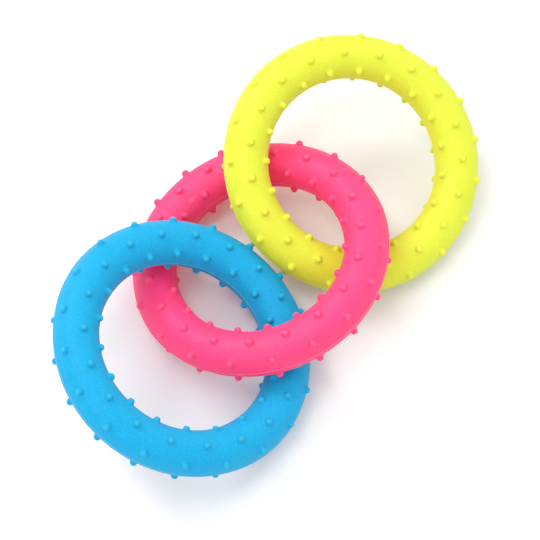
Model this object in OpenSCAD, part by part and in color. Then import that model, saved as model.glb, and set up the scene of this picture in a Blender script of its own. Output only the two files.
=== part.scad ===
// Puppy chew toy: three rubber rings linked into a short chain. Each ring is one solid moulding
// with six rows of soft nubs and a thin moulding line round its inner and outer edge. The chain
// lies on the floor. The pink ring threads through both end rings, so every ring leans a little
// and stands on the nubs of its low side.

/* [Ring] */
// Outside diameter of each ring, without nubs
ring_d = 70; // [60:1:85]
// Diameter of the ring's round section
tube_d = 11.8; // [10:0.1:14]

/* [Nubs] */
// Number of nubs in one row round the ring
nubs_per_row = 19; // [13:1:22]
// Angle of the outer and inner rows above and below the ring's middle plane
row_angle = 39; // [34:1:44]
// Height of a nub above the tube
nub_h = 1.3; // [1:0.05:1.6]
// Width of a nub below its rounded tip
nub_tip_d = 1.3; // [1.2:0.02:1.5]
// Width of a nub at the tube
nub_base_d = 2.1; // [1.8:0.02:2.4]
// Radius of the rounding round a nub's tip
nub_edge_r = 0.5; // [0.4:0.02:0.58]

/* [Moulding line] */
// How far the moulding line stands out of the tube
line_h = 0.15; // [0.1:0.01:0.25]
// Width of the moulding line
line_w = 0.4; // [0.3:0.02:0.6]

/* [Chain] */
// Free space between a nub and the next ring where the rings cross
link_clearance = 0.2; // [0.1:0.02:0.5]

/* [Hidden] */

tube_r = tube_d / 2;
outer_r = ring_d / 2;
mid_r = outer_r - tube_r;
nub_tip_r = nub_tip_d / 2;
line_r = line_w / 2;
pitch = 360 / nubs_per_row;

// The crown rows stand on top of the tube and under it. The outer and inner rows lie half a
// pitch off the crown rows, so the nubs are staggered across the tube.
crown_angle = 90;
crown_phase_share = 0.25;
side_phase_share = 0.75;
side_angles = [row_angle, 180 - row_angle];

// A nub has a rounded tip and a slightly hollow side. The side is one arc that leaves the
// rounding with part of the lean that a straight side would have, passes through the edge of the
// base and runs on under the tube's surface to the root. It starts just inside the rounding.
tuck_share = 0.995;
tuck_r = tuck_share * nub_edge_r;
nub_edge_at = [nub_tip_r - nub_edge_r, nub_h - nub_edge_r];
to_base = [nub_base_d / 2, 0] - nub_edge_at;
straight_lean = atan2(to_base.x, -to_base.y) - asin(tuck_r / norm(to_base));
side_lean_share = 0.6;
side_lean = side_lean_share * straight_lean;
side_out = [cos(side_lean), sin(side_lean)];
side_r = (to_base * to_base - 2 * tuck_r * (to_base * side_out) + tuck_r ^ 2)
  / (2 * (to_base * side_out - tuck_r));
side_at = nub_edge_at + (tuck_r + side_r) * side_out;
side_top = nub_edge_at.y + tuck_r * side_out.y;
root_share = 0.12;
nub_root = root_share * nub_base_d;

// Heights in the chain go by one tube with the nubs that touch it, and distances in plan by one
// ring with its nubs.
link_rise = tube_d + nub_h + link_clearance;
link_reach = outer_r + nub_h + link_clearance;

// Where the end rings' centres lie from the pink ring's, as shares of link_reach
blue_place_shares = [-0.556, -0.713];
yellow_place_shares = [0.706, 0.7];
// How far each ring's centre line dips at its low side, as a share of link_rise
blue_dip_share = 0.86;
pink_dip_share = 0.58;
yellow_dip_share = 0.81;
// Direction that each ring's low side faces
blue_low = -1;
pink_low = 152;
yellow_low = -59;
// Turn of each ring's nubs about its own axis, as a share of the pitch
blue_turn_share = -0.65;
pink_turn_share = -0.15;
yellow_turn_share = -0.155;

// How a ring lies: its lean, the direction of its low side and the turn of its nubs
function lie(dip_share, low, turn_share) =
  [asin(dip_share * link_rise / mid_r), low, turn_share * pitch];
blue_lie = lie(blue_dip_share, blue_low, blue_turn_share);
pink_lie = lie(pink_dip_share, pink_low, pink_turn_share);
yellow_lie = lie(yellow_dip_share, yellow_low, yellow_turn_share);

// Matrices that turn about the upright axis and lean towards X
function turned(a) = [[cos(a), -sin(a), 0], [sin(a), cos(a), 0], [0, 0, 1]];
function leaned(a) = [[cos(a), 0, sin(a)], [0, 1, 0], [-sin(a), 0, cos(a)]];

// Direction round the ring at angle a, and the way out of the tube there at angle f above the
// middle plane
function around(a) = [cos(a), sin(a), 0];
function outward(a, f) = cos(f) * around(a) + [0, 0, sin(f)];

// Places of all nubs, as angle round the ring and angle round the tube
nub_places = [
  for (i = [0 : nubs_per_row - 1], side = [-1, 1])
    each [
      [(i + crown_phase_share) * pitch, side * crown_angle],
      for (f = side_angles) [(i + side_phase_share) * pitch, side * f]
    ]
];

// How far a ring reaches from its centre in direction d, first given in the ring's own frame.
// A nub's tip is a disc with a rounded edge.
function nub_reach(place, d) =
  let (
    out = outward(place[0], place[1]),
    along = out * d
  )
  mid_r * around(place[0]) * d + (tube_r + nub_edge_at.y) * along
  + nub_edge_at.x * sqrt(max(0, 1 - along ^ 2)) + nub_edge_r;
function own_reach(d) =
  max(mid_r * norm([d.x, d.y]) + tube_r, max([for (place = nub_places) nub_reach(place, d)]));
function reach(lie, d) =
  own_reach(d * turned(lie[1]) * leaned(lie[0]) * turned(lie[2] - lie[1]));

// The chain stands on z = 0 with the middle of its outline over the origin
blue_at = link_reach * blue_place_shares;
yellow_at = link_reach * yellow_place_shares;
function middle(d) =
  (yellow_at * d + reach(yellow_lie, [d.x, d.y, 0]) + blue_at * d - reach(blue_lie, [-d.x, -d.y, 0])) / 2;
chain_middle = [middle([1, 0]), middle([0, 1])];
function centre(at, lie) = [at.x - chain_middle.x, at.y - chain_middle.y, reach(lie, [0, 0, -1])];

// Half of a nub's section, drawn from its axis, with the tube's surface at y = 0
module nub_profile() {
  square([nub_edge_at.x, nub_h]);
  intersection() {
    translate(nub_edge_at)
      circle(r = nub_edge_r, $fn = 48);
    square([nub_tip_r, nub_h]);
  }
  difference() {
    translate([0, -nub_root])
      square([side_at.x, nub_root + side_top]);
    translate(side_at)
      circle(r = side_r, $fn = 240);
  }
}

// One nub, standing on the tube at its place round the ring
module nub(place) {
  rotate([0, 0, place[0]])
    translate([mid_r, 0, 0])
      rotate([0, 90 - place[1], 0])
        translate([0, 0, tube_r])
          rotate_extrude($fn = 48)
            nub_profile();
}

// The tube with the moulding line on its inner and outer edge
module tube() {
  rotate_extrude($fn = 96) {
    translate([mid_r, 0])
      circle(r = tube_r, $fn = 64);
    for (side = [-1, 1])
      translate([mid_r + side * (tube_r + line_h - line_r), 0])
        circle(r = line_r, $fn = 24);
  }
}

module nubbed_ring() {
  tube();
  for (place = nub_places)
    nub(place);
}

// A ring laid in the chain
module laid(at, lie) {
  translate(centre(at, lie))
    rotate([0, 0, lie[1]])
      rotate([0, lie[0], 0])
        rotate([0, 0, lie[2] - lie[1]])
          nubbed_ring();
}

module blue_ring() {
  color("#2db9ef")
    laid(blue_at, blue_lie);
}

module pink_ring() {
  color("#fd5a93")
    laid([0, 0], pink_lie);
}

module yellow_ring() {
  color("#f7f352")
    laid(yellow_at, yellow_lie);
}

blue_ring();
pink_ring();
yellow_ring();
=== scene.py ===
"""Puppy chew toy: three nubbed rubber rings linked in a chain, finished in rubber."""

import math

import bmesh
import bpy
from bpy.props import (
    EnumProperty, FloatProperty, FloatVectorProperty, IntProperty, PointerProperty,
)
from mathutils import Matrix, Vector


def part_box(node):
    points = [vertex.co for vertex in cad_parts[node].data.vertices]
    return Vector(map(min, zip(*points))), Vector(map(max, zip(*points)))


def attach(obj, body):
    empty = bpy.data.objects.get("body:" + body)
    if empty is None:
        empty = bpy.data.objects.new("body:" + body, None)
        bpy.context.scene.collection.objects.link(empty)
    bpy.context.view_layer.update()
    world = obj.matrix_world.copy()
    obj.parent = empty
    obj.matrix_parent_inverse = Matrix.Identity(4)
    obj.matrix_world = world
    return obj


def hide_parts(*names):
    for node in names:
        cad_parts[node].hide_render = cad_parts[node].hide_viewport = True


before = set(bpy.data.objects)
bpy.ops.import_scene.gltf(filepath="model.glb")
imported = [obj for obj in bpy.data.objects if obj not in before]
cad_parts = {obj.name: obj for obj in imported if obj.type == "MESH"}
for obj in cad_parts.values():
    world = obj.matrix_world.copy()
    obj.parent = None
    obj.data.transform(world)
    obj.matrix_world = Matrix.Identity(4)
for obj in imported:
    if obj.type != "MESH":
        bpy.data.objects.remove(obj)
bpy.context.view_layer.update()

bl_info = {
    "name": "Ring chain chew toy",
    "version": (1, 0, 0),
    "blender": (4, 5, 0),
    "location": "3D View > Sidebar > Chew toy",
    "description": "Three linked rubber rings with rows of soft nubs",
    "category": "Object",
}

MM = 0.001
RINGS = ("blue_ring", "pink_ring", "yellow_ring")


def srgb(red, green, blue):
    """A screen colour from 0 to 255 as the linear colour that a shader takes."""
    def channel(value):
        share = value / 255
        return share / 12.92 if share <= 0.04045 else ((share + 0.055) / 1.055) ** 2.4
    return tuple(channel(value) for value in (red, green, blue))


class ToyRingSizes(bpy.types.PropertyGroup):
    """Sizes that all the rings share."""

    ring_d: FloatProperty(
        name="Ring diameter", description="Outside diameter of a ring without nubs",
        default=70 * MM, unit="LENGTH")
    tube_d: FloatProperty(
        name="Tube diameter", description="Diameter of a ring's round section",
        default=11.8 * MM, unit="LENGTH")
    nubs_per_row: IntProperty(
        name="Nubs in a row", description="Number of nubs in one row round the ring",
        default=19, min=3)
    row_angle: FloatProperty(
        name="Row angle", description="Angle of the outer and inner rows above the middle plane",
        default=math.radians(39), subtype="ANGLE")
    nub_h: FloatProperty(
        name="Nub height", description="Height of a nub above the tube",
        default=1.2 * MM, unit="LENGTH")
    nub_tip_d: FloatProperty(
        name="Nub tip width", description="Width of a nub below its rounded tip",
        default=1.68 * MM, unit="LENGTH")
    nub_base_d: FloatProperty(
        name="Nub base width", description="Width of a nub at the tube",
        default=2.34 * MM, unit="LENGTH")
    nub_edge_r: FloatProperty(
        name="Nub edge radius", description="Radius of the rounding round a nub's tip",
        default=0.62 * MM, unit="LENGTH")
    nub_sway: FloatProperty(
        name="Nub sway", description="How far a nub's tip strays from its true place",
        default=0.06 * MM, unit="LENGTH")
    line_h: FloatProperty(
        name="Moulding line height", description="How far the moulding line stands out",
        default=0.15 * MM, unit="LENGTH")
    line_w: FloatProperty(
        name="Moulding line width", description="Width of the moulding line at its foot",
        default=0.5 * MM, unit="LENGTH")
    swell: FloatProperty(
        name="Swell", description="How far the moulded surface wanders in and out",
        default=0.06 * MM, unit="LENGTH")
    link_clearance: FloatProperty(
        name="Link clearance", description="Free space between a nub and the next ring",
        default=0.3 * MM, unit="LENGTH")


class ToyRingLies(bpy.types.PropertyGroup):
    """How each ring lies in the chain."""

    blue_place: FloatVectorProperty(
        name="Blue place", description="Centre from the pink ring's, in ring reaches",
        default=(-0.556, -0.713), size=2)
    pink_place: FloatVectorProperty(
        name="Pink place", description="Centre from the pink ring's, in ring reaches",
        default=(0, 0), size=2)
    yellow_place: FloatVectorProperty(
        name="Yellow place", description="Centre from the pink ring's, in ring reaches",
        default=(0.706, 0.7), size=2)
    blue_dip: FloatProperty(
        name="Blue dip", description="Dip of the low side, as a share of the rise at a link",
        default=0.86)
    pink_dip: FloatProperty(
        name="Pink dip", description="Dip of the low side, as a share of the rise at a link",
        default=0.58)
    yellow_dip: FloatProperty(
        name="Yellow dip", description="Dip of the low side, as a share of the rise at a link",
        default=0.81)
    blue_low: FloatProperty(
        name="Blue low side", description="Direction that the low side faces",
        default=math.radians(-1), subtype="ANGLE")
    pink_low: FloatProperty(
        name="Pink low side", description="Direction that the low side faces",
        default=math.radians(152), subtype="ANGLE")
    yellow_low: FloatProperty(
        name="Yellow low side", description="Direction that the low side faces",
        default=math.radians(-59), subtype="ANGLE")
    blue_turn: FloatProperty(
        name="Blue turn", description="Turn of the nubs, as a share of their pitch",
        default=-0.65)
    pink_turn: FloatProperty(
        name="Pink turn", description="Turn of the nubs, as a share of their pitch",
        default=-0.15)
    yellow_turn: FloatProperty(
        name="Yellow turn", description="Turn of the nubs, as a share of their pitch",
        default=-0.155)


class ToyRubberLook(bpy.types.PropertyGroup):
    """Colours and finish of the rubber, with its painted shade, painted lighter tips, painted
    highlight and painted glow.
    """

    blue: FloatVectorProperty(
        name="Blue", description="Colour of the blue rubber",
        default=srgb(16, 180, 231), size=3, subtype="COLOR")
    pink: FloatVectorProperty(
        name="Pink", description="Colour of the pink rubber",
        default=srgb(253, 67, 135), size=3, subtype="COLOR")
    yellow: FloatVectorProperty(
        name="Yellow", description="Colour of the yellow rubber",
        default=srgb(235, 245, 66), size=3, subtype="COLOR")
    # Painted light: the nubs' tips are painted lighter than the tube, as where light falls on
    # their tops
    blue_tip: FloatVectorProperty(
        name="Blue painted lit tip", description="Colour of the blue nubs' tips",
        default=srgb(36, 191, 230), size=3, subtype="COLOR")
    pink_tip: FloatVectorProperty(
        name="Pink painted lit tip", description="Colour of the pink nubs' tips",
        default=srgb(255, 88, 150), size=3, subtype="COLOR")
    yellow_tip: FloatVectorProperty(
        name="Yellow painted lit tip", description="Colour of the yellow nubs' tips",
        default=srgb(244, 252, 72), size=3, subtype="COLOR")
    bounce: FloatProperty(
        name="Bounce", description="Share of its colour that a ring casts on what is near",
        default=0.5, subtype="FACTOR")
    bounce_grey: FloatProperty(
        name="Bounce grey", description="Grey that takes the place of the rest of that colour",
        default=0.15, subtype="FACTOR")
    # Painted highlight: the moulding line is painted paler, as where it catches the light
    line_light: FloatProperty(
        name="Moulding line painted highlight", description="How pale the moulding line is",
        default=0.14, subtype="FACTOR")
    depth: FloatProperty(
        name="Depth", description="How far light goes into the rubber",
        default=1.5 * MM, unit="LENGTH")
    depth_light: FloatProperty(
        name="Depth light", description="Share of the light that goes into the rubber",
        default=0.12, subtype="FACTOR")
    shine: FloatVectorProperty(
        name="Shine", description="How strongly the blue, pink and yellow rubber mirror the lamps",
        default=(0.25, 0.55, 0.35), size=3)
    sheen: FloatProperty(
        name="Sheen", description="Weight of the dusty sheen on the rubber",
        default=0.04, subtype="FACTOR")
    # Painted glow: an even glow that lifts the shaded blue, which the blue rubber doesn't give of
    # itself
    blue_painted_glow: FloatVectorProperty(
        name="Blue painted glow", description="Light that the blue dye gives of itself",
        default=(0, 0, 0.03), size=3, subtype="COLOR")
    # Painted glow: an even glow that lifts the shaded pink; it stands in for the neon dye's real
    # fluorescence but glows whatever the light
    pink_painted_glow: FloatVectorProperty(
        name="Pink painted glow", description="Light that the neon pink dye gives of itself",
        default=(0.22, 0, 0), size=3, subtype="COLOR")
    # Painted glow: an even glow that lifts the shaded yellow; it stands in for the neon dye's real
    # fluorescence but glows whatever the light
    yellow_painted_glow: FloatVectorProperty(
        name="Yellow painted glow", description="Light that the neon yellow dye gives of itself",
        default=(0.03, 0.03, 0), size=3, subtype="COLOR")
    speck: FloatVectorProperty(
        name="Speck", description="How strongly the blue, pink and yellow rubber are specked",
        default=(0.9, 1.4, 0.4), size=3)
    seam_place: FloatVectorProperty(
        name="Seam place", description="Where the blue, pink and yellow ring are joined, in turns",
        default=(0.6, 0.411, 0), size=3)
    seam_shade: FloatVectorProperty(
        name="Seam shade", description="How dark the joint of the blue, pink and yellow ring is",
        default=(0.1, 0.12, 0), size=3)
    seam_w: FloatProperty(
        name="Seam width", description="Width of the joint in a ring",
        default=0.4 * MM, unit="LENGTH")
    # Painted shade: each nub's sides are painted darker towards its foot, where shade falls round
    # the nub
    foot_shade: FloatVectorProperty(
        name="Foot shade", description="How dark the blue, pink and yellow nubs' sides are",
        default=(0.9, 0.8, 0.15), size=3)
    smear_place: FloatVectorProperty(
        name="Smear place", description="Turns round the ring and round the tube to the smear",
        default=(0.378, 0.3555), size=2)
    smear_size: FloatVectorProperty(
        name="Smear size", description="Half of the smear's length along the ring and its width",
        default=(2.1 * MM, 0.8 * MM), size=2, subtype="XYZ_LENGTH")
    smear_light: FloatVectorProperty(
        name="Smear light", description="How pale the smear on the blue, pink and yellow ring is",
        default=(0, 0.12, 0), size=3)
    mottle: FloatProperty(
        name="Mottle", description="How much the colour varies over the surface",
        default=0.05, subtype="FACTOR")
    grain: FloatProperty(
        name="Grain size", description="Size of the fine grain in the surface",
        default=0.35 * MM, unit="LENGTH")


class ToyStageSettings(bpy.types.PropertyGroup):
    """Camera, floor and lamps."""

    camera_place: FloatVectorProperty(
        name="Camera", description="Place of the camera",
        default=(-0.7 * MM, -220.1 * MM, 497.0 * MM), size=3, subtype="TRANSLATION")
    camera_tilt: FloatProperty(
        name="Camera tilt", description="Angle of the view from straight down",
        default=math.radians(24.2), subtype="ANGLE")
    camera_roll: FloatProperty(
        name="Camera roll", description="Turn of the camera about its view",
        default=math.radians(-2.1), subtype="ANGLE")
    lens: FloatProperty(
        name="Lens", description="Focal length in millimetres on a 36 mm sensor",
        default=133.3)
    floor_w: FloatProperty(
        name="Floor width", description="Width of the floor",
        default=4.0, unit="LENGTH")
    floor_white: FloatProperty(
        name="Floor white", description="How much light the floor gives back",
        default=0.86, subtype="FACTOR")
    floor_bleach: FloatProperty(
        name="Floor bleach", description="How much whiter the camera sees the floor",
        default=1.32, min=1)
    room_light: FloatProperty(
        name="Room light", description="Even light from all round the toy",
        default=0.8)
    lamp_far: FloatProperty(
        name="Lamp distance", description="Distance of every lamp from the middle of the toy",
        default=1.2, unit="LENGTH")
    lamp_w: FloatProperty(
        name="Lamp width", description="Width of every square lamp",
        default=0.4, unit="LENGTH")


def toy():
    """The settings of the chew toy in the open scene."""
    return bpy.context.scene


class RingForm:
    """The geometry of a ring in its own frame, in metres and radians."""

    CROWN_PHASE = 0.25
    SIDE_PHASE = 0.75
    SIDE_LEAN_SHARE = 0.6
    EDGE_SHARES = (1, 0.7, 0.4, 0)
    SIDE_SHARES = (0.68, 0.4, 0.18, 0.02)

    def __init__(self, sizes):
        self.sizes = sizes
        self.tube_r = sizes.tube_d / 2
        self.outer_r = sizes.ring_d / 2
        self.mid_r = self.outer_r - self.tube_r
        self.base_r = sizes.nub_base_d / 2
        self.edge_at = Vector((sizes.nub_tip_d / 2 - sizes.nub_edge_r,
                               sizes.nub_h - sizes.nub_edge_r))
        self.pitch = 2 * math.pi / sizes.nubs_per_row
        self.link_rise = sizes.tube_d + sizes.nub_h + sizes.link_clearance
        self.link_reach = self.outer_r + sizes.nub_h + sizes.link_clearance

    @staticmethod
    def around(s):
        """Direction from the ring's middle at angle s round it."""
        return Vector((math.cos(s), math.sin(s), 0))

    @classmethod
    def outward(cls, s, f):
        """Way out of the tube at s round the ring and f above its middle plane."""
        return cls.around(s) * math.cos(f) + Vector((0, 0, math.sin(f)))

    def skin(self, s, f):
        """Point on the tube's surface."""
        return self.around(s) * self.mid_r + self.outward(s, f) * self.tube_r

    def nub_places(self):
        """Angles round the ring and round the tube of every nub."""
        row = self.sizes.row_angle
        for i in range(self.sizes.nubs_per_row):
            for side in (-1, 1):
                yield (i + self.CROWN_PHASE) * self.pitch, side * math.pi / 2
                for f in (row, math.pi - row):
                    yield (i + self.SIDE_PHASE) * self.pitch, side * f

    def reach(self, direction):
        """How far the ring reaches from its centre in a direction in its own frame."""
        best = self.mid_r * Vector(direction[:2]).length + self.tube_r
        for s, f in self.nub_places():
            along = self.outward(s, f).dot(direction)
            nub = self.mid_r * self.around(s).dot(direction)
            nub += (self.tube_r + self.edge_at.y) * along + self.sizes.nub_edge_r
            nub += self.edge_at.x * math.sqrt(max(0, 1 - along ** 2))
            best = max(best, nub)
        return best

    def nub_profile(self):
        """Radius and height of the nub's outline, from the tip down to the tube."""
        edge_r = self.sizes.nub_edge_r
        to_base = Vector((self.base_r, 0)) - self.edge_at
        lean = self.SIDE_LEAN_SHARE * (
            math.atan2(to_base.x, -to_base.y) - math.asin(edge_r / to_base.length))
        out = Vector((math.cos(lean), math.sin(lean)))
        side_r = (to_base.length_squared - 2 * edge_r * to_base.dot(out) + edge_r ** 2) / (
            2 * (to_base.dot(out) - edge_r))
        side_at = self.edge_at + (edge_r + side_r) * out
        points = []
        for share in self.EDGE_SHARES:
            a = lean + share * (math.pi / 2 - lean)
            points.append(self.edge_at + edge_r * Vector((math.cos(a), math.sin(a))))
        top = points[-1].y
        for share in self.SIDE_SHARES:
            rise = side_at.y - share * top
            points.append(Vector((side_at.x - math.sqrt(side_r ** 2 - rise ** 2), share * top)))
        return points


def lie_matrix(form, name):
    """Turn of a ring in the chain, and its place in plan before the chain is centred."""
    lies = toy().chew_lies
    colour = name.split("_")[0]
    place = Vector(getattr(lies, colour + "_place")) * form.link_reach
    lean = math.asin(getattr(lies, colour + "_dip") * form.link_rise / form.mid_r)
    low = getattr(lies, colour + "_low")
    turn = getattr(lies, colour + "_turn") * form.pitch
    turned = (Matrix.Rotation(low, 3, "Z") @ Matrix.Rotation(lean, 3, "Y")
              @ Matrix.Rotation(turn - low, 3, "Z"))
    return turned, place


def ring_lies(form):
    """Each ring's matrix in the frame: standing on the floor, with the chain centred."""
    lies = {name: lie_matrix(form, name) for name in RINGS}

    def span(axis):
        ends = []
        for sign in (-1, 1):
            direction = Vector((0, 0, 0))
            direction[axis] = sign
            ends.append(max(
                form.reach(turned.transposed() @ direction) + sign * place[axis]
                for turned, place in lies.values()))
        return (ends[1] - ends[0]) / 2

    middle = Vector((span(0), span(1)))
    down = Vector((0, 0, -1))
    matrices = {}
    for name, (turned, place) in lies.items():
        rise = form.reach(turned.transposed() @ down)
        at = Vector((place[0] - middle[0], place[1] - middle[1], rise))
        matrices[name] = Matrix.Translation(at) @ turned.to_4x4()
    return matrices


class SkinSector:
    """One pitch of a ring's skin, built as faces in the two angles of the tube."""

    ROWS = 6
    NUB_SIDES = 16
    FIRST_SIDE = math.radians(-135)
    # Faces along each edge of a nub's cell
    STEPS = 8
    # Where the skin round a nub starts, as a share of the nub's radius at the tube, and how it
    # is parted from there to the edge of the cell
    FOOT_SHARE = 1.22
    SKIN_SHARES = (0, 0.3, 0.62)
    # Places across the moulding line as shares of half its width, with shares of its height
    LINE_SHARES = ((-1, 0), (-0.45, 0.6), (0, 1), (0.45, 0.6), (1, 0))
    NO_NUB = -1

    def __init__(self, form):
        self.form = form
        self.mesh = bmesh.new()
        self.uv = self.mesh.loops.layers.uv.new("skin")
        self.number = self.mesh.verts.layers.int.new("nub_number")
        self.height = self.mesh.verts.layers.float.new("nub_height")
        self.angles = {}

    def vert(self, s, f, point=None, height=0, number=0):
        """A vertex at the two angles, on the tube or at a point off it."""
        vert = self.mesh.verts.new(self.form.skin(s, f) if point is None else point)
        vert[self.number] = number
        vert[self.height] = height / self.form.sizes.nub_h
        self.angles[vert] = (s, f)
        return vert

    def face(self, verts):
        """A smooth face, with the two angles as its place on the skin in turns."""
        face = self.mesh.faces.new(verts)
        face.smooth = True
        for loop in face.loops:
            s, f = self.angles[loop.vert]
            loop[self.uv].uv = (s / (2 * math.pi), f / (2 * math.pi))

    def bands(self, rings):
        """Quads between closed rings of vertices, from the inside out."""
        for inner, outer in zip(rings, rings[1:]):
            n = len(inner)
            for j in range(n):
                self.face((inner[j], outer[j], outer[(j + 1) % n], inner[(j + 1) % n]))

    def cell(self, number, s_mid, f_mid, f_low, f_high):
        """A nub and the skin round it, out to a rectangle one pitch long."""
        form = self.form
        s_low = s_mid - form.pitch / 2
        base = form.skin(s_mid, f_mid)
        lift = form.outward(s_mid, f_mid)
        along = form.around(s_mid + math.pi / 2)
        over = lift.cross(along)
        across = form.mid_r + form.tube_r * math.cos(f_mid)

        def spot(radius, a):
            return (s_mid + radius * math.cos(a) / across,
                    f_mid + radius * math.sin(a) / form.tube_r)

        nub = []
        for radius, height in form.nub_profile():
            ring = []
            for j in range(self.NUB_SIDES):
                a = self.FIRST_SIDE + 2 * math.pi * j / self.NUB_SIDES
                point = base + lift * height
                point += (along * math.cos(a) + over * math.sin(a)) * radius
                ring.append(self.vert(*spot(radius, a), point, height, number))
            nub.append(ring)
        top = self.vert(s_mid, f_mid, base + lift * form.sizes.nub_h, form.sizes.nub_h, number)
        for j in range(self.NUB_SIDES):
            self.face((top, nub[0][j], nub[0][(j + 1) % self.NUB_SIDES]))
        self.bands(nub)

        edge = []
        for k in range(4 * self.STEPS):
            side, step = divmod(k, self.STEPS)
            t = step / self.STEPS
            corner = ((t, 0), (1, t), (1 - t, 1), (0, 1 - t))[side]
            edge.append((s_low + corner[0] * form.pitch, f_low + corner[1] * (f_high - f_low)))
        foot_r = form.base_r * self.FOOT_SHARE
        outer = []
        for share in self.SKIN_SHARES + (1,):
            ring = []
            for k, (s_edge, f_edge) in enumerate(edge):
                a = self.FIRST_SIDE + 2 * math.pi * k / len(edge)
                s_foot, f_foot = spot(foot_r, a)
                ring.append(self.vert(s_foot + (s_edge - s_foot) * share,
                                      f_foot + (f_edge - f_foot) * share))
            outer.append(ring)
        foot = nub[-1]
        n = self.NUB_SIDES
        for j in range(n):
            rim = [outer[0][(2 * j + i) % (2 * n)] for i in range(3)]
            self.face((foot[j], rim[0], rim[1], rim[2], foot[(j + 1) % n]))
        self.bands(outer)

    def line(self, f_mid, s_low):
        """The moulding line: a low ridge along the tube's edge."""
        form = self.form
        rows = []
        for share, height_share in self.LINE_SHARES:
            f = f_mid + share * self.half_line()
            row = []
            for k in range(self.STEPS + 1):
                s = s_low + form.pitch * k / self.STEPS
                rise = form.outward(s, f_mid) * height_share * form.sizes.line_h
                row.append(self.vert(s, f, form.skin(s, f) + rise, number=self.NO_NUB))
            rows.append(row)
        for low, high in zip(rows, rows[1:]):
            for k in range(self.STEPS):
                self.face((low[k], low[k + 1], high[k + 1], high[k]))

    def half_line(self):
        """Half of the moulding line's width, as an angle round the tube."""
        return self.form.sizes.line_w / 2 / self.form.tube_r

    def build(self):
        """The whole pitch as a mesh."""
        form = self.form
        row = form.sizes.row_angle
        seam = (row + math.pi / 2) / 2
        half = self.half_line()
        crown_s = form.CROWN_PHASE * form.pitch
        side_s = form.SIDE_PHASE * form.pitch
        for side in (0, 1):
            turn = math.pi * side
            first = side * self.ROWS // 2
            self.cell(first, side_s, turn + row, turn + half, turn + seam)
            self.cell(first + 1, crown_s, turn + math.pi / 2, turn + seam, turn + math.pi - seam)
            self.cell(first + 2, side_s, turn + math.pi - row, turn + math.pi - seam,
                      turn + math.pi - half)
            self.line(math.pi - turn, side_s - form.pitch / 2)
        data = bpy.data.meshes.new("skin of one pitch")
        self.mesh.to_mesh(data)
        self.mesh.free()
        return data


class NodeDesk:
    """Lays nodes in a tree and joins their sockets by name."""

    def __init__(self, tree):
        self.tree = tree

    def add(self, kind, settings=None, **inputs):
        """A node with its settings, and its inputs by their names with _ for a space."""
        node = self.tree.nodes.new(kind)
        for key, value in (settings or {}).items():
            setattr(node, key, value)
        for key, value in inputs.items():
            self.feed(node, key.replace("_", " "), value)
        return node

    def place(self, socket, value):
        """Links another node's socket to the input, or sets a plain value there."""
        if isinstance(value, bpy.types.NodeSocket):
            self.tree.links.new(value, socket)
        else:
            socket.default_value = value

    def feed(self, node, name, value):
        """Places a value at the node's input of that name."""
        self.place(self.socket(node.inputs, name), value)

    @staticmethod
    def socket(sockets, name):
        """The live socket of that name."""
        for socket in sockets:
            if socket.enabled and socket.name.lower() == name.lower():
                return socket
        raise KeyError(f"no socket named {name}")

    def out(self, node, name=None):
        """The node's output of that name, or its first live one."""
        if name:
            return self.socket(node.outputs, name)
        return next(socket for socket in node.outputs if socket.enabled)

    def math(self, operation, *values):
        """The result of a Math node."""
        node = self.tree.nodes.new("ShaderNodeMath")
        node.operation = operation
        for socket, value in zip(node.inputs, values):
            self.place(socket, value)
        return node.outputs[0]

    def vector(self, operation, *values, scale=None):
        """The result of a Vector Math node."""
        node = self.tree.nodes.new("ShaderNodeVectorMath")
        node.operation = operation
        for socket, value in zip(node.inputs, values):
            self.place(socket, value)
        if scale is not None:
            self.place(node.inputs["Scale"], scale)
        return self.out(node)

    def mask(self, distance, width):
        """1 where the distance is 0, falling softly to 0 at the width."""
        node = self.add("ShaderNodeMapRange", {"interpolation_type": "SMOOTHSTEP"},
                        Value=distance, From_Max=width, To_Min=1.0, To_Max=0.0)
        return self.out(node, "Result")

    def off_whole(self, turns):
        """How far a number of turns is from the nearest whole one."""
        share = self.math("FRACT", self.math("ADD", turns, 0.5))
        return self.math("ABSOLUTE", self.math("SUBTRACT", share, 0.5))

    def mix(self, factor, first, second):
        """A colour between two others."""
        node = self.add("ShaderNodeMix", {"data_type": "RGBA"}, Factor=factor, A=first, B=second)
        return self.out(node, "Result")


SWELL_DETAIL = 2.0


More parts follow.
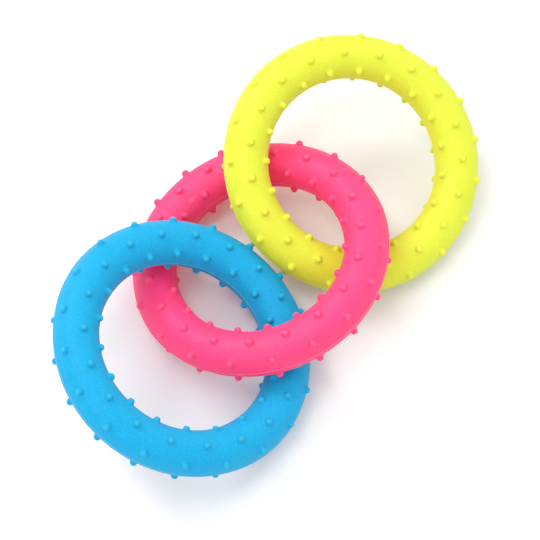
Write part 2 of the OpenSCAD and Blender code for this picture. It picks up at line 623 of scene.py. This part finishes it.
def ring_tree():
    """Geometry nodes that repeat one pitch of skin round a ring and lay it in the chain."""
    name = "Ring from one pitch"
    if name in bpy.data.node_groups:
        return bpy.data.node_groups[name]
    tree = bpy.data.node_groups.new(name, "GeometryNodeTree")
    face = tree.interface
    face.new_socket("Geometry", in_out="INPUT", socket_type="NodeSocketGeometry")
    face.new_socket("Nubs in a row", in_out="INPUT", socket_type="NodeSocketInt")
    face.new_socket("Nub sway", in_out="INPUT", socket_type="NodeSocketFloat")
    face.new_socket("Swell", in_out="INPUT", socket_type="NodeSocketFloat")
    face.new_socket("Swell size", in_out="INPUT", socket_type="NodeSocketFloat")
    face.new_socket("Join distance", in_out="INPUT", socket_type="NodeSocketFloat")
    face.new_socket("Seed", in_out="INPUT", socket_type="NodeSocketInt")
    face.new_socket("Place", in_out="INPUT", socket_type="NodeSocketVector")
    face.new_socket("Lie", in_out="INPUT", socket_type="NodeSocketVector")
    face.new_socket("Rubber", in_out="INPUT", socket_type="NodeSocketMaterial")
    face.new_socket("Geometry", in_out="OUTPUT", socket_type="NodeSocketGeometry")
    desk = NodeDesk(tree)
    given = tree.nodes.new("NodeGroupInput").outputs
    count = given["Nubs in a row"]

    index = desk.out(desk.add("GeometryNodeInputIndex"))
    turn = desk.math("DIVIDE", index, count)
    points = desk.add("GeometryNodeMeshLine", {"mode": "OFFSET"}, Count=count)
    desk.feed(points, "Offset", (0, 0, 0))
    angle = desk.math("MULTIPLY", turn, 2 * math.pi)
    euler = desk.out(desk.add("ShaderNodeCombineXYZ", Z=angle))
    rotation = desk.out(desk.add("FunctionNodeEulerToRotation", Euler=euler))
    repeated = desk.add("GeometryNodeInstanceOnPoints", Points=desk.out(points),
                        Instance=given["Geometry"], Rotation=rotation)
    numbered = desk.add("GeometryNodeStoreNamedAttribute",
                        {"data_type": "INT", "domain": "INSTANCE"},
                        Geometry=desk.out(repeated), Name="pitch_number", Value=index)
    real = desk.out(desk.add("GeometryNodeRealizeInstances", Geometry=desk.out(numbered)))

    pitch_number = desk.out(desk.add(
        "GeometryNodeInputNamedAttribute", {"data_type": "INT"}, Name="pitch_number"))
    skin = desk.out(desk.add(
        "GeometryNodeInputNamedAttribute", {"data_type": "FLOAT_VECTOR"}, Name="skin"))
    shift = desk.out(desk.add("ShaderNodeCombineXYZ", X=desk.math("DIVIDE", pitch_number, count)))
    mapped = desk.add("GeometryNodeStoreNamedAttribute",
                      {"data_type": "FLOAT2", "domain": "CORNER"},
                      Geometry=real, Name="skin", Value=desk.vector("ADD", skin, shift))

    row = desk.out(desk.add(
        "GeometryNodeInputNamedAttribute", {"data_type": "INT"}, Name="nub_number"))
    height = desk.out(desk.add(
        "GeometryNodeInputNamedAttribute", {"data_type": "FLOAT"}, Name="nub_height"))
    nub = desk.math("ADD", desk.math("MULTIPLY", pitch_number, SkinSector.ROWS), row)
    stray = desk.add("FunctionNodeRandomValue", {"data_type": "FLOAT_VECTOR"},
                     Min=(-1, -1, -1), Max=(1, 1, 1), ID=nub, Seed=given["Seed"])
    sway = desk.vector("SCALE", desk.out(stray),
                       scale=desk.math("MULTIPLY", height, given["Nub sway"]))
    swayed = desk.add("GeometryNodeSetPosition", Geometry=desk.out(mapped), Offset=sway)
    joined = desk.add("GeometryNodeMergeByDistance", Geometry=desk.out(swayed),
                      Distance=given["Join distance"])

    place = desk.out(desk.add("GeometryNodeInputPosition"))
    normal = desk.out(desk.add("GeometryNodeInputNormal"))
    start = desk.out(desk.add("ShaderNodeCombineXYZ", Z=given["Seed"]))
    spot = desk.vector("ADD", desk.vector(
        "SCALE", place, scale=desk.math("DIVIDE", 1.0, given["Swell size"])), start)
    noise = desk.add("ShaderNodeTexNoise", Vector=spot, Scale=1.0, Detail=SWELL_DETAIL)
    wander = desk.math("MULTIPLY", desk.math("SUBTRACT", desk.out(noise), 0.5), 2.0)
    swelled = desk.add("GeometryNodeSetPosition", Geometry=desk.out(joined),
                       Offset=desk.vector("SCALE", normal,
                                          scale=desk.math("MULTIPLY", wander, given["Swell"])))
    laid = desk.add("GeometryNodeTransform", Geometry=desk.out(swelled),
                    Translation=given["Place"],
                    Rotation=desk.out(desk.add("FunctionNodeEulerToRotation", Euler=given["Lie"])))
    smooth = desk.add("GeometryNodeSetShadeSmooth", Geometry=desk.out(laid))
    whole = desk.add("GeometryNodeRealizeInstances", Geometry=desk.out(smooth))
    finished = desk.add("GeometryNodeSetMaterial", Geometry=desk.out(whole),
                        Material=given["Rubber"])
    result = tree.nodes.new("NodeGroupOutput")
    tree.links.new(desk.out(finished), result.inputs["Geometry"])
    return tree


def baked(piece):
    """The piece with its modifiers made into a plain mesh."""
    graph = bpy.context.evaluated_depsgraph_get()
    mesh = bpy.data.meshes.new_from_object(piece.evaluated_get(graph), depsgraph=graph)
    old = piece.data
    piece.modifiers.clear()
    piece.data = mesh
    bpy.data.meshes.remove(old)
    return piece


FINISH_INPUTS = (
    ("Colour", "Color"), ("Tip colour", "Color"), ("Mottle", "Float"), ("Grain size", "Float"),
    ("Speck", "Float"), ("Foot shade", "Float"), ("Line light", "Float"), ("Line width", "Float"),
    ("Seam place", "Float"), ("Seam shade", "Float"), ("Seam width", "Float"),
    ("Smear place", "Vector"), ("Smear size", "Vector"), ("Smear light", "Float"),
)
FINISH_OUTPUTS = (("Colour", "Color"), ("Roughness", "Float"), ("Normal", "Vector"))
CLOUDS_PER_METRE = 90.0
CLOUD_DETAIL = 4.0
CLOUD_ROUGHNESS = 0.6
GRAIN_DETAIL = 3.0
GRAIN_ROUGHNESS = 0.65
# How fast the painted shade on a nub's side fades towards its tip
FOOT_POWER = 3.0
TIP_POWER = 2.0
PORE_SHARE = 0.6
PORE_DEPTH_SHARE = 0.35
SEAM_DEPTH_SHARE = 4.0
RELIEF_STRENGTH = 0.22
RELIEF_DEPTH = 0.12 * MM
DULL = 0.46
DULL_CLOUD_SHARE = 0.06
DULL_GRAIN_SHARE = 0.08
SHEEN_ROUGHNESS = 0.5


def finish_and_painted_light_group():
    """Shader nodes for the grain, mottle, painted shade on the nubs' sides, painted lighter nub
    tips, painted highlight on the moulding line, seam and smear of rubber.
    """
    name = "Moulded rubber finish"
    if name in bpy.data.node_groups:
        return bpy.data.node_groups[name]
    tree = bpy.data.node_groups.new(name, "ShaderNodeTree")
    for title, kind in FINISH_INPUTS:
        tree.interface.new_socket(title, in_out="INPUT", socket_type="NodeSocket" + kind)
    for title, kind in FINISH_OUTPUTS:
        tree.interface.new_socket(title, in_out="OUTPUT", socket_type="NodeSocket" + kind)
    desk = NodeDesk(tree)
    given = tree.nodes.new("NodeGroupInput").outputs
    place = desk.out(desk.add("ShaderNodeTexCoord"), "Object")
    skin = desk.out(desk.add("ShaderNodeUVMap", {"uv_map": "skin"}))
    turns = desk.add("ShaderNodeSeparateXYZ", Vector=skin)
    height = desk.out(desk.add("ShaderNodeAttribute", {"attribute_name": "nub_height"}), "Fac")

    cloud = desk.add("ShaderNodeTexNoise", Vector=place, Scale=CLOUDS_PER_METRE,
                     Detail=CLOUD_DETAIL, Roughness=CLOUD_ROUGHNESS)
    centred = desk.math("MULTIPLY", desk.math("SUBTRACT", desk.out(cloud), 0.5), 2.0)
    light = desk.math("ADD", 1.0, desk.math("MULTIPLY", centred, given["Mottle"]))
    # Painted shade: darker on a nub's sides near its foot, where shade falls
    steep = desk.math("POWER", desk.math("SUBTRACT", 1.0, height), FOOT_POWER)
    foot = desk.math("MULTIPLY", height, steep)
    light = desk.math("SUBTRACT", light, desk.math("MULTIPLY", foot, given["Foot shade"]))
    grain_scale = desk.math("DIVIDE", 1.0, given["Grain size"])
    grain = desk.out(desk.add("ShaderNodeTexNoise", Vector=place, Scale=grain_scale,
                              Detail=GRAIN_DETAIL, Roughness=GRAIN_ROUGHNESS))
    speck = desk.math("MULTIPLY", desk.math("SUBTRACT", grain, 0.5), given["Speck"])
    light = desk.math("ADD", light, speck)

    bend = desk.math("MULTIPLY", centred, given["Seam width"])
    past_seam = desk.math("SUBTRACT", desk.math("ADD", desk.out(turns, "X"), bend),
                          given["Seam place"])
    on_seam = desk.mask(desk.off_whole(past_seam), given["Seam width"])
    seam = desk.math("MULTIPLY", on_seam, given["Seam shade"])
    light = desk.math("SUBTRACT", light, seam)
    # Painted light: the colour turns to the lighter tip colour towards a nub's top, where light
    # falls
    painted_lit_tip = desk.math("POWER", height, TIP_POWER)
    with_painted_lit_tips = desk.mix(painted_lit_tip, given["Colour"], given["Tip colour"])
    coloured = desk.vector("SCALE", with_painted_lit_tips, scale=light)

    # Painted highlight along the moulding line, and the real pale smear on the pink ring
    half_turns = desk.math("MULTIPLY", desk.out(turns, "Y"), 2.0)
    on_line = desk.mask(desk.off_whole(half_turns), given["Line width"])
    off_smear = desk.vector("DIVIDE", desk.vector("SUBTRACT", skin, given["Smear place"]),
                            given["Smear size"])
    on_smear = desk.mask(desk.vector("LENGTH", off_smear), 1.0)
    painted_highlight_and_smear = desk.math("ADD", desk.math("MULTIPLY", on_line, given["Line light"]),
                     desk.math("MULTIPLY", on_smear, given["Smear light"]))
    coloured = desk.mix(painted_highlight_and_smear, coloured, (1, 1, 1, 1))

    pores = desk.out(desk.add("ShaderNodeTexVoronoi", Vector=place,
                              Scale=desk.math("MULTIPLY", grain_scale, PORE_SHARE)), "Distance")
    relief = desk.math("ADD", grain, desk.math("MULTIPLY", pores, PORE_DEPTH_SHARE))
    relief = desk.math("SUBTRACT", relief, desk.math("MULTIPLY", seam, SEAM_DEPTH_SHARE))
    bump = desk.add("ShaderNodeBump", Strength=RELIEF_STRENGTH, Distance=RELIEF_DEPTH,
                    Height=relief)
    dull = desk.math("ADD", DULL, desk.math("MULTIPLY", centred, DULL_CLOUD_SHARE))
    dull = desk.math("ADD", dull, desk.math("MULTIPLY", grain, DULL_GRAIN_SHARE))

    result = tree.nodes.new("NodeGroupOutput")
    tree.links.new(coloured, result.inputs["Colour"])
    tree.links.new(dull, result.inputs["Roughness"])
    tree.links.new(desk.out(bump), result.inputs["Normal"])
    return tree


def finish_values(name):
    """What the rubber finish is given for one ring. Places and widths are in turns."""
    look = toy().chew_look
    sizes = toy().chew_sizes
    number = RINGS.index(name + "_ring")
    round_ring = math.pi * (sizes.ring_d - sizes.tube_d)
    round_tube = math.pi * sizes.tube_d
    return {
        "Colour": (*getattr(look, name), 1),
        "Tip colour": (*getattr(look, name + "_tip"), 1),
        "Mottle": look.mottle,
        "Grain size": look.grain,
        "Speck": look.speck[number],
        "Foot shade": look.foot_shade[number],
        "Line light": look.line_light,
        "Line width": sizes.line_w / round_tube,
        "Seam place": look.seam_place[number],
        "Seam shade": look.seam_shade[number],
        "Seam width": look.seam_w / round_ring,
        "Smear place": (*look.smear_place, 0),
        "Smear size": (look.smear_size[0] / round_ring, look.smear_size[1] / round_tube, 1),
        "Smear light": look.smear_light[number],
    }


def rubber(name):
    """The rubber of one ring."""
    look = toy().chew_look
    material = bpy.data.materials.new(name + " rubber")
    material.use_nodes = True
    tree = material.node_tree
    desk = NodeDesk(tree)
    shader = tree.nodes["Principled BSDF"]
    finish = tree.nodes.new("ShaderNodeGroup")
    finish.node_tree = finish_and_painted_light_group()
    for title, value in finish_values(name).items():
        finish.inputs[title].default_value = value

    # What is near the ring gets less of its colour than the camera sees
    rest = (1 - look.bounce) * look.bounce_grey
    near = (*(look.bounce * channel + rest for channel in getattr(look, name)), 1)
    path = desk.add("ShaderNodeLightPath")
    seen = desk.mix(desk.out(path, "Is Diffuse Ray"), finish.outputs["Colour"], near)
    values = {
        "Base Color": seen,
        "Roughness": finish.outputs["Roughness"],
        "Normal": finish.outputs["Normal"],
        # Painted glow: the emission lifts each ring's shade evenly, as no lamp would
        "Emission Color": (*getattr(look, name + "_painted_glow"), 1),
        "Emission Strength": 1.0,
        "Specular IOR Level": look.shine[RINGS.index(name + "_ring")],
        "Subsurface Weight": look.depth_light,
        "Subsurface Scale": look.depth,
        "Sheen Weight": look.sheen,
        "Sheen Roughness": SHEEN_ROUGHNESS,
    }
    for title, value in values.items():
        desk.place(shader.inputs[title], value)
    return material


class CHEWTOY_OT_ring(bpy.types.Operator):
    """Make one nubbed rubber ring in its place in the chain"""

    bl_idname = "chewtoy.ring"
    bl_label = "Nubbed ring"
    bl_options = {"REGISTER", "UNDO"}

    ring: EnumProperty(
        name="Ring", description="Which ring of the chain is made",
        items=[(name, name.replace("_", " ").capitalize(), "") for name in RINGS])

    # How near two vertices are joined, how wide a swell is, and how far off its CAD node's box
    # a ring may be
    JOIN = 0.002 * MM
    SWELL_SIZE = 14 * MM
    FIT = 0.4 * MM

    def execute(self, context):
        sizes = toy().chew_sizes
        form = RingForm(sizes)
        matrix = ring_lies(form)[self.ring]
        colour = self.ring.split("_")[0]
        piece = bpy.data.objects.new(colour + "_nubbed_ring", SkinSector(form).build())
        context.scene.collection.objects.link(piece)
        tree = ring_tree()
        modifier = piece.modifiers.new("Ring", "NODES")
        modifier.node_group = tree
        values = {
            "Nubs in a row": sizes.nubs_per_row,
            "Nub sway": sizes.nub_sway,
            "Swell": sizes.swell,
            "Swell size": self.SWELL_SIZE,
            "Join distance": self.JOIN,
            "Seed": RINGS.index(self.ring) + 1,
            "Place": tuple(matrix.to_translation()),
            "Lie": tuple(matrix.to_euler()),
            "Rubber": rubber(colour),
        }
        for item in tree.interface.items_tree:
            if item.in_out == "INPUT" and item.name in values:
                modifier[item.identifier] = values[item.name]
        baked(piece)
        self.check_fit(piece)
        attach(piece, self.ring)
        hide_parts(self.ring)
        return {"FINISHED"}

    def check_fit(self, piece):
        """Stops the script where the ring isn't where its CAD node is."""
        low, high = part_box(self.ring)
        for axis in range(3):
            places = [vert.co[axis] for vert in piece.data.vertices]
            off = max(abs(min(places) - low[axis]), abs(max(places) - high[axis]))
            if off > self.FIT:
                raise RuntimeError(f"{piece.name} is {off / MM:.2f} mm off {self.ring}")


def soft_lamp(name, direction, height, power, settings):
    """A square soft lamp that lights the toy from a direction in plan and a height, in degrees."""
    data = bpy.data.lights.new(name, "AREA")
    data.shape = "SQUARE"
    data.size = settings.lamp_w
    data.energy = power
    lamp = bpy.data.objects.new(name, data)
    way = RingForm.outward(math.radians(direction), math.radians(height))
    lamp.location = way * settings.lamp_far
    lamp.rotation_euler = way.to_track_quat("Z", "Y").to_euler()
    bpy.context.scene.collection.objects.link(lamp)


def floor_material(settings):
    """White paper that the camera sees as white and that keeps the shadow."""
    material = bpy.data.materials.new("White floor")
    material.use_nodes = True
    tree = material.node_tree
    desk = NodeDesk(tree)
    tree.nodes.clear()
    path = desk.add("ShaderNodeLightPath")
    bleach = desk.add("ShaderNodeMapRange", Value=desk.out(path, "Is Camera Ray"),
                      To_Min=settings.floor_white,
                      To_Max=settings.floor_white * settings.floor_bleach)
    paper = desk.add("ShaderNodeBsdfDiffuse", Color=desk.out(bleach, "Result"))
    result = tree.nodes.new("ShaderNodeOutputMaterial")
    tree.links.new(desk.out(paper), result.inputs["Surface"])
    return material


class CHEWTOY_OT_stage(bpy.types.Operator):
    """Set the floor, the soft lamps and the camera"""

    bl_idname = "chewtoy.stage"
    bl_label = "Stage"
    bl_options = {"REGISTER", "UNDO"}

    SENSOR = 36
    NEAREST = 10 * MM
    # Name, direction in plan and height in degrees, and power in watts
    LAMPS = (
        ("key lamp", 135, 48, 3.0),
        ("top lamp", 180, 78, 1.9),
        ("front left lamp", 225, 45, 0.9),
        ("back right lamp", 45, 45, 1.1),
    )

    def execute(self, context):
        settings = toy().chew_stage
        self.add_floor(context, settings)
        for name, direction, height, power in self.LAMPS:
            soft_lamp(name, direction, height, power, settings)
        self.add_world(context, settings)
        self.add_camera(context, settings)
        context.scene.view_settings.view_transform = "Standard"
        return {"FINISHED"}

    def add_floor(self, context, settings):
        half = settings.floor_w / 2
        mesh = bpy.data.meshes.new("floor")
        corners = [(-half, -half, 0), (half, -half, 0), (half, half, 0), (-half, half, 0)]
        mesh.from_pydata(corners, [], [(0, 1, 2, 3)])
        mesh.materials.append(floor_material(settings))
        floor = bpy.data.objects.new("floor", mesh)
        context.scene.collection.objects.link(floor)

    def add_world(self, context, settings):
        world = bpy.data.worlds.new("Studio")
        context.scene.world = world
        world.use_nodes = True
        tree = world.node_tree
        desk = NodeDesk(tree)
        path = desk.add("ShaderNodeLightPath")
        seen = desk.math("MAXIMUM", desk.out(path, "Is Camera Ray"),
                         desk.math("MAXIMUM", desk.out(path, "Is Glossy Ray"),
                                   desk.out(path, "Is Transmission Ray")))
        strength = desk.math("ADD", settings.room_light,
                             desk.math("MULTIPLY", seen, 1 - settings.room_light))
        background = tree.nodes["Background"]
        background.inputs["Color"].default_value = (1, 1, 1, 1)
        tree.links.new(strength, background.inputs["Strength"])

    def add_camera(self, context, settings):
        data = bpy.data.cameras.new("Camera")
        data.sensor_width = self.SENSOR
        data.lens = settings.lens
        data.clip_start = self.NEAREST
        camera = bpy.data.objects.new("Camera", data)
        turn = Matrix.Rotation(settings.camera_tilt, 4, "X")
        roll = Matrix.Rotation(settings.camera_roll, 4, "Z")
        camera.matrix_world = Matrix.Translation(settings.camera_place) @ turn @ roll
        context.scene.collection.objects.link(camera)
        context.scene.camera = camera


class CHEWTOY_PT_panel(bpy.types.Panel):
    """Lists the chew toy's sizes, colours and pieces"""

    bl_idname = "CHEWTOY_PT_panel"
    bl_label = "Chew toy"
    bl_space_type = "VIEW_3D"
    bl_region_type = "UI"
    bl_category = "Chew toy"

    def draw(self, context):
        layout = self.layout
        for title, group in (("Sizes", toy().chew_sizes), ("Lie", toy().chew_lies),
                             ("Rubber", toy().chew_look), ("Stage", toy().chew_stage)):
            box = layout.box()
            box.label(text=title)
            for key in group.__annotations__:
                box.prop(group, key)
        for name in RINGS:
            layout.operator(CHEWTOY_OT_ring.bl_idname, text=name.replace("_", " ")).ring = name
        layout.operator(CHEWTOY_OT_stage.bl_idname)


CLASSES = (
    ToyRingSizes, ToyRingLies, ToyRubberLook, ToyStageSettings,
    CHEWTOY_OT_ring, CHEWTOY_OT_stage, CHEWTOY_PT_panel,
)


def register():
    for cls in CLASSES:
        bpy.utils.register_class(cls)
    scene = bpy.types.Scene
    scene.chew_sizes = PointerProperty(type=ToyRingSizes)
    scene.chew_lies = PointerProperty(type=ToyRingLies)
    scene.chew_look = PointerProperty(type=ToyRubberLook)
    scene.chew_stage = PointerProperty(type=ToyStageSettings)


def unregister():
    scene = bpy.types.Scene
    del scene.chew_sizes, scene.chew_lies, scene.chew_look, scene.chew_stage
    for cls in reversed(CLASSES):
        bpy.utils.unregister_class(cls)


def main():
    register()
    for name in RINGS:
        bpy.ops.chewtoy.ring(ring=name)
    bpy.ops.chewtoy.stage()


if __name__ == "__main__":
    main()
